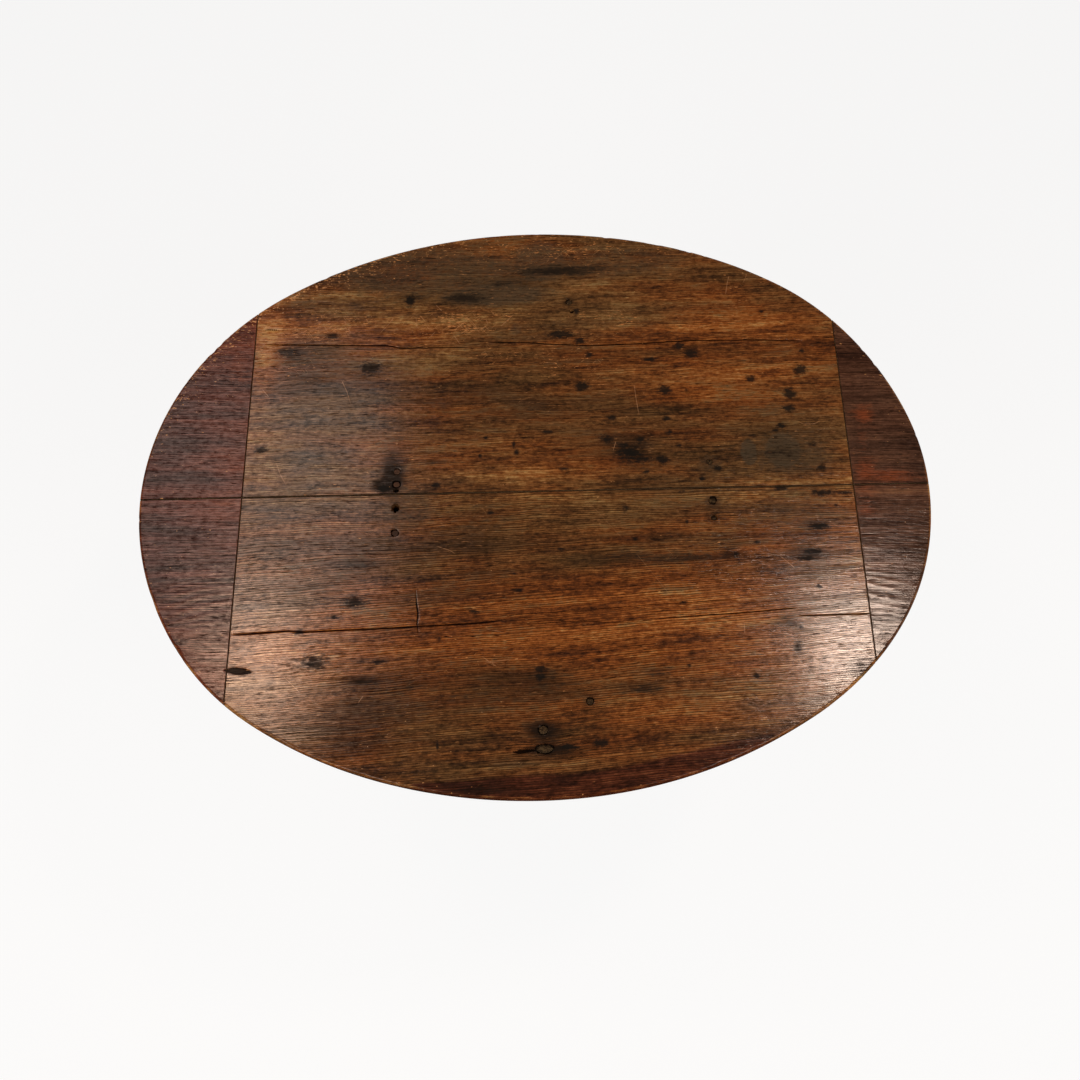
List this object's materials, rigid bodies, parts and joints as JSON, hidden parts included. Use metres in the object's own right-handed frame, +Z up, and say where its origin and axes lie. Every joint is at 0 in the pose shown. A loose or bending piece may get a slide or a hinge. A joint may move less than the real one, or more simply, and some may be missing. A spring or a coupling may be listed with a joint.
{
  "type": "tavern table",
  "caption": "Oval pine top of wide boards lengthened at both ends, pegged and nailed to a small frame with leaning turned legs, rails and box stretchers.",
  "frame": {"origin": "on the floor, under the middle of the oval top", "axes": "+X along the boards of the top to the right, +Y to the rear, +Z up"},
  "size_m": [0.864, 0.6638, 0.68],
  "materials": {
    "top_pine": "worn old brown stain under a thin waxed varnish",
    "end_pine": "darker reddish brown stain with ridged grain, waxed",
    "batten_pine": "unfinished, darkened with age",
    "frame_maple": "old dark brown stain, worn on edges",
    "peg_oak": "stained with the surface around it",
    "wrought_iron": "hammered, dark and slightly rusted"
  },
  "bodies": {
    "root": {"rear_top_board": "top_pine", "front_top_board": "top_pine", "left_rear_end_piece": "end_pine", "left_front_end_piece": "end_pine", "right_rear_end_piece": "end_pine", "right_front_end_piece": "end_pine", "cross_batten": "batten_pine", "left_end_batten": "batten_pine", "right_end_batten": "batten_pine", "front_left_leg": "frame_maple", "front_right_leg": "frame_maple", "rear_left_leg": "frame_maple", "rear_right_leg": "frame_maple", "front_rail": "frame_maple", "rear_rail": "frame_maple", "left_rail": "frame_maple", "right_rail": "frame_maple", "front_stretcher": "frame_maple", "rear_stretcher": "frame_maple", "left_stretcher": "frame_maple", "right_stretcher": "frame_maple", "top_pegs": "peg_oak", "rail_pegs": "peg_oak", "stretcher_pegs": "peg_oak", "seam_dowels": "peg_oak", "rail_nails": "wrought_iron", "batten_top_nails": "wrought_iron", "end_batten_nails": "wrought_iron"}
  },
  "joints": []
}
